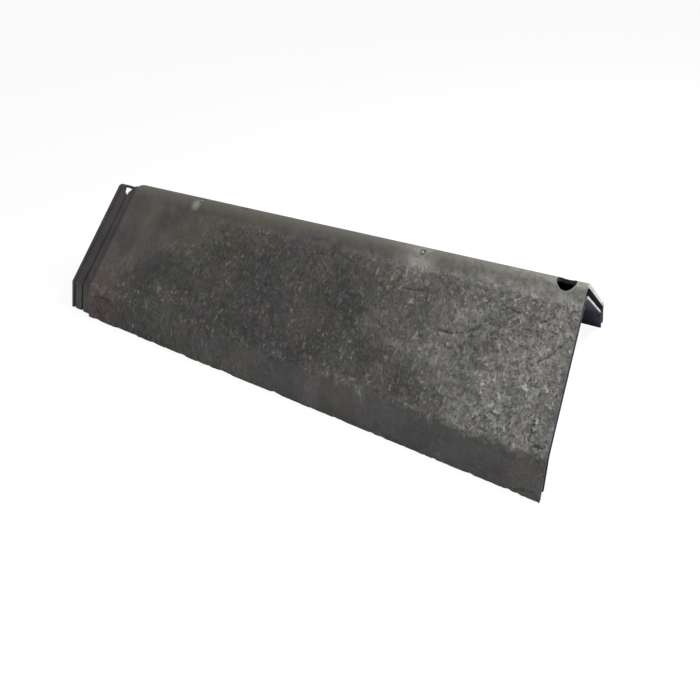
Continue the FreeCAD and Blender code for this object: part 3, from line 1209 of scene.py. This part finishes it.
@dataclass
class HipCap:
    """The whole cap: body, tongue and collar joined, drilled and given its finishes."""

    node: str = "hip_cap"
    section: CapSection = field(default_factory=CapSection)
    tongue_length: float = 32.0 * MM
    access_radius: float = 7.0 * MM
    access_from_end: float = 14.5 * MM
    screw_radius: float = 3.5 * MM
    crease_angle: float = math.radians(38.0)
    gates: tuple[GateMark, ...] = GATES
    cutter_rise: float = 10.0 * MM      # above the ridge line
    skin_cut: float = 11.6 * MM         # below it, past the wall and short of the collar
    skin_depth: float = 1.9 * MM        # faces less far in than this carry the skin
    tongue_depth: float = 6.0 * MM      # and these, on the tongue, its own finish
    end_reach: float = 1.5 * MM
    border: float = 0.2 * MM

    def __post_init__(self) -> None:
        """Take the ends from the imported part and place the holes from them."""
        low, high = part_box(self.node)
        self.low_x, self.high_x = low.x, high.x
        self.body_x = low.x + self.tongue_length
        self.hole_x = high.x - self.access_from_end
        self.tongue_hole_x = self.body_x - self.access_from_end

    def build(self, effects: SharedEffects) -> bpy.types.Object:
        """Make the finished piece.

        Args:
            effects: shader groups that the finishes share.

        Returns:
            The piece, dressed and with its place in its mesh.
        """
        materials = self._materials(effects)
        body = RivenBody(self.section, self.body_x, self.high_x, RivenRelief())
        cap = body.build(materials[0])
        LOG.info("riven body: %d faces", len(cap.data.polygons))
        top = self.section.apex_z + self.cutter_rise
        skin_floor = self.section.apex_z - self.skin_cut
        drill(cap, "access_cutter", self.hole_x, self.access_radius, skin_floor, top)
        for gate in self.gates:
            gate.carve(cap, self.section)
        tongue = LapTongue(self.section, self.low_x, self.body_x).build()
        drill(tongue, "tongue_cutter", self.tongue_hole_x, self.access_radius, 0.0, top)
        combine(cap, tongue, Joining.ADD)
        collar = SlotCollar(self.section, self.high_x, self.tongue_length).build(self.hole_x)
        drill(collar, "screw_cutter", self.hole_x, self.screw_radius, 0.0, skin_floor)
        combine(cap, collar, Joining.ADD)
        cap.name = "moulded_hip_cap"
        self._dress(cap, materials)
        return cap

    def _materials(self, effects: SharedEffects) -> list[bpy.types.Material]:
        """One material for each finish, in slot order."""
        skin = RivenSlateFinish().build(effects, self.section, self.gates, self.hole_x,
                                        self.access_radius)
        return [skin, *(plain.build(effects) for plain in PLAIN_FINISHES)]

    def _dress(self, cap: bpy.types.Object, materials: list[bpy.types.Material]) -> None:
        """Give each face its finish from where it lies, and shade it smooth between creases."""
        mesh = cap.data
        mesh.materials.clear()
        for material in materials:
            mesh.materials.append(material)
        count = len(mesh.polygons)
        centres = np.zeros(count * 3, np.float32)
        normals = np.zeros(count * 3, np.float32)
        mesh.polygons.foreach_get("center", centres)
        mesh.polygons.foreach_get("normal", normals)
        centres, normals = centres.reshape(-1, 3), normals.reshape(-1, 3)
        inset = self._inset(centres)
        finish = np.full(count, Finish.RAW_INSIDE.value, np.int32)
        outer = (inset < self.skin_depth) & (centres[:, 0] > self.body_x - self.border)
        finish[outer] = Finish.RIVEN_SKIN.value
        reach = np.hypot(centres[:, 0] - self.hole_x, centres[:, 1])
        # faces of the access bore and the seat under it take a lighter copy of the raw polymer,
        # painted light
        in_bore = (reach < self.access_radius + 0.05 * MM) & (normals[:, 2] > -0.5)
        finish[in_bore] = Finish.BORE_PAINTED_LIGHT.value
        finish[(centres[:, 0] < self.body_x) & (inset < self.tongue_depth)] = Finish.TONGUE.value
        # end faces: dark on the near wing and pale on the far wing, painted reflection of the
        # shaded and the bright floor
        at_end = (centres[:, 0] > self.high_x - self.end_reach) & (normals[:, 0] > 0.7)
        finish[at_end] = Finish.RAW_INSIDE.value
        far_wing = (centres[:, 1] > 0.0) & (centres[:, 2] > self.section.corners(0.0)[3][1])
        finish[at_end & far_wing] = Finish.END_PAINTED_REFLECTION.value
        mesh.polygons.foreach_set("material_index", finish)
        mesh.shade_smooth()
        mesh.set_sharp_from_angle(angle=self.crease_angle)
        mesh.update()

    def _inset(self, points: np.ndarray) -> np.ndarray:
        """Distance of each point below the sharp outer faces."""
        across, height = np.abs(points[:, 1]), points[:, 2]
        apex_y, apex_z = self.section.corners(0.0)[2]
        fold_y, fold_z = self.section.corners(0.0)[3]
        pitch, steep = self.section.wing_pitch, self.section.skirt_pitch
        wing = (apex_z - height) * math.cos(pitch) - (across - apex_y) * math.sin(pitch)
        skirt = (fold_z - height) * math.cos(steep) - (across - fold_y) * math.sin(steep)
        return np.minimum(wing, skirt)


# ---------------------------------------------------------------------------------------------
# Studio
# ---------------------------------------------------------------------------------------------


Place = tuple[float, float, float]


@dataclass(frozen=True)
class Softbox:
    """Square area light at a place, turned to its aim."""

    name: str
    place: Place
    aim: Place
    size: float
    power: float

    def build(self) -> None:
        """Make the light."""
        lamp = bpy.data.lights.new(self.name, "AREA")
        lamp.size = self.size
        lamp.energy = self.power
        box = bpy.data.objects.new(self.name, lamp)
        box.location = self.place
        view = Vector(self.aim) - Vector(self.place)
        box.rotation_euler = view.to_track_quat("-Z", "Y").to_euler()
        bpy.context.scene.collection.objects.link(box)


SOFTBOXES = (
    Softbox("key_softbox", (0.52, 0.34, 0.84), (0.18, 0.0, 0.05), 0.30, 14.5),
    Softbox("front_softbox", (-0.45, -0.95, 0.75), (-0.05, 0.0, 0.05), 0.8, 4.8),
)


@dataclass(frozen=True)
class Studio:
    """Pale floor, soft lights and the camera."""

    floor_size: float = 24.0
    camera_place: Place = (0.3015, -0.3171, 0.3263)
    camera_aim: Place = (0.1017, 0.0260, 0.1145)
    camera_roll: float = math.radians(-4.24)
    camera_lens: float = 27.9
    camera_shift: tuple[float, float] = (-0.0913, -0.1897)

    def build(self) -> None:
        """Make floor, world, lights and camera."""
        self._floor()
        self._world()
        for softbox in SOFTBOXES:
            softbox.build()
        self._camera()

    def _floor(self) -> None:
        """Large pale floor, level with the bottom edges."""
        half = self.floor_size / 2.0
        mesh = bpy.data.meshes.new("studio_floor")
        corners = [(-half, -half, 0.0), (half, -half, 0.0), (half, half, 0.0), (-half, half, 0.0)]
        mesh.from_pydata(corners, [], [(0, 1, 2, 3)])
        floor = bpy.data.objects.new("studio_floor", mesh)
        bpy.context.scene.collection.objects.link(floor)
        material = bpy.data.materials.new("studio_paper")
        material.use_nodes = True
        material.node_tree.nodes.clear()
        w = NodeWriter(material.node_tree)
        paper = w.node("ShaderNodeBsdfDiffuse")
        paper.inputs["Color"].default_value = (0.86, 0.86, 0.86, 1.0)
        bright = w.node("ShaderNodeEmission")
        bright.inputs["Color"].default_value = (1.0, 1.0, 1.0, 1.0)
        self._show(w, paper, bright, 0.92, "ShaderNodeOutputMaterial")
        mesh.materials.append(material)

    def _world(self) -> None:
        """Even pale surroundings, white where the camera sees them."""
        world = bpy.data.worlds.new("studio")
        bpy.context.scene.world = world
        world.use_nodes = True
        world.node_tree.nodes.clear()
        w = NodeWriter(world.node_tree)
        soft = w.node("ShaderNodeBackground")
        soft.inputs["Color"].default_value = (0.95, 0.97, 1.0, 1.0)
        soft.inputs["Strength"].default_value = 0.47
        white = w.node("ShaderNodeBackground")
        white.inputs["Color"].default_value = (1.0, 1.0, 1.0, 1.0)
        white.inputs["Strength"].default_value = 1.0
        self._show(w, soft, white, 1.0, "ShaderNodeOutputWorld")

    @staticmethod
    def _show(w: NodeWriter, real: bpy.types.Node, seen: bpy.types.Node, share: float,
              output: str) -> None:
        """Use one shader for the light and mostly another for what the camera sees."""
        camera_ray = w.node("ShaderNodeLightPath").outputs["Is Camera Ray"]
        mixed = w.node("ShaderNodeMixShader")
        w.put(mixed.inputs[0], w.times(camera_ray, share))
        w.put(mixed.inputs[1], real.outputs[0])
        w.put(mixed.inputs[2], seen.outputs[0])
        w.put(w.node(output).inputs["Surface"], mixed.outputs[0])

    def _camera(self) -> None:
        """Camera at the viewing angle, a little rolled, with the shift that the framing needs."""
        data = bpy.data.cameras.new("camera")
        data.sensor_width = 36.0
        data.lens = self.camera_lens
        data.shift_x, data.shift_y = self.camera_shift
        data.clip_start = 0.01
        camera = bpy.data.objects.new("camera", data)
        view = Vector(self.camera_aim) - Vector(self.camera_place)
        roll = Matrix.Rotation(self.camera_roll, 3, "Z").to_quaternion()
        turn = view.to_track_quat("-Z", "Y") @ roll
        camera.location = self.camera_place
        camera.rotation_euler = turn.to_euler()
        bpy.context.scene.collection.objects.link(camera)
        bpy.context.scene.camera = camera


def main() -> None:
    """Build the cap and the studio."""
    logging.basicConfig(level=logging.INFO, format="%(name)s %(message)s")
    bpy.context.scene.view_settings.view_transform = "Standard"
    Studio().build()
    effects = SharedEffects.build()
    cap = HipCap()
    piece = cap.build(effects)
    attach(piece, "root")
    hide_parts(cap.node)
    triangles = sum(len(face.vertices) - 2 for face in piece.data.polygons)
    LOG.info("%s: %d triangles", piece.name, triangles)
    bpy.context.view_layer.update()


if __name__ == "__main__":
    main()
